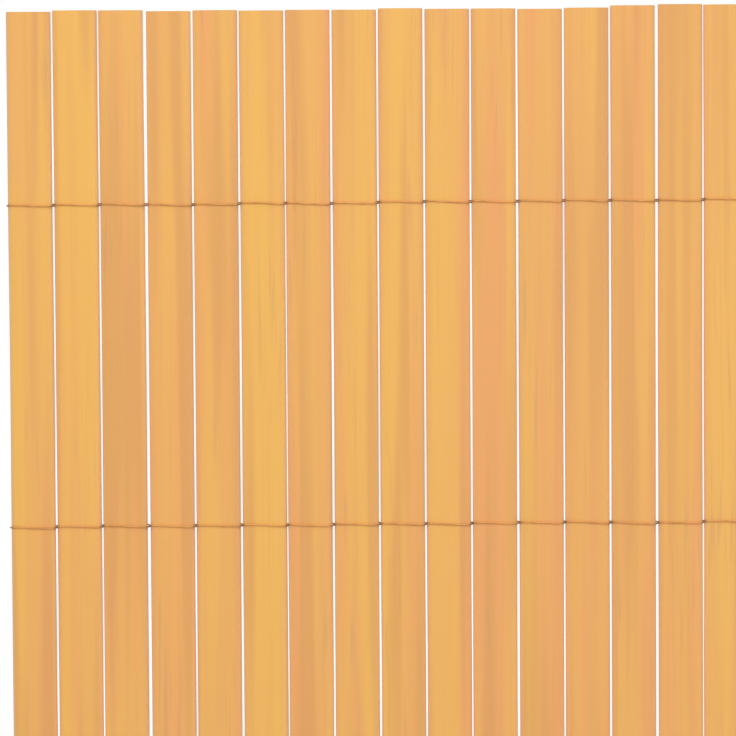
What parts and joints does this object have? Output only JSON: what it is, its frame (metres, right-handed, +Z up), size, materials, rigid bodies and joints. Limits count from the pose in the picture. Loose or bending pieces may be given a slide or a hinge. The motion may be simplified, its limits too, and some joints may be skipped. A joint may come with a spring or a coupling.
{
  "type": "pvc privacy screen",
  "caption": "Upright mat of hollow round-edged PVC slats, bound side by side by rows of twined wire, tied to a railing or fence as a privacy screen.",
  "frame": {"origin": "middle of the screen's lower edge, in the plane of the slats' lower cut ends", "axes": "+X along the rows of wire, to the right seen from the front; +Y through the screen to its back; +Z up along the slats"},
  "size_m": [0.791, 0.0065, 0.9],
  "materials": {
    "slat_pvc": "honey-orange extruded PVC, satin, with faint streaks along the slat",
    "binding_wire": "brown plastic-coated steel wire"
  },
  "bodies": {
    "root": {"slat_01": "slat_pvc", "slat_02": "slat_pvc", "slat_03": "slat_pvc", "slat_04": "slat_pvc", "slat_05": "slat_pvc", "slat_06": "slat_pvc", "slat_07": "slat_pvc", "slat_08": "slat_pvc", "slat_09": "slat_pvc", "slat_10": "slat_pvc", "slat_11": "slat_pvc", "slat_12": "slat_pvc", "slat_13": "slat_pvc", "slat_14": "slat_pvc", "slat_15": "slat_pvc", "slat_16": "slat_pvc", "slat_17": "slat_pvc", "slat_18": "slat_pvc", "slat_19": "slat_pvc", "slat_20": "slat_pvc", "slat_21": "slat_pvc", "slat_22": "slat_pvc", "slat_23": "slat_pvc", "slat_24": "slat_pvc", "slat_25": "slat_pvc", "slat_26": "slat_pvc", "slat_27": "slat_pvc", "slat_28": "slat_pvc", "slat_29": "slat_pvc", "slat_30": "slat_pvc", "slat_31": "slat_pvc", "slat_32": "slat_pvc", "slat_33": "slat_pvc", "slat_34": "slat_pvc", "slat_35": "slat_pvc", "slat_36": "slat_pvc", "slat_37": "slat_pvc", "slat_38": "slat_pvc", "binding_wire_1": "binding_wire", "binding_wire_2": "binding_wire", "binding_wire_3": "binding_wire", "binding_wire_4": "binding_wire", "binding_wire_5": "binding_wire", "binding_wire_6": "binding_wire"}
  },
  "joints": []
}
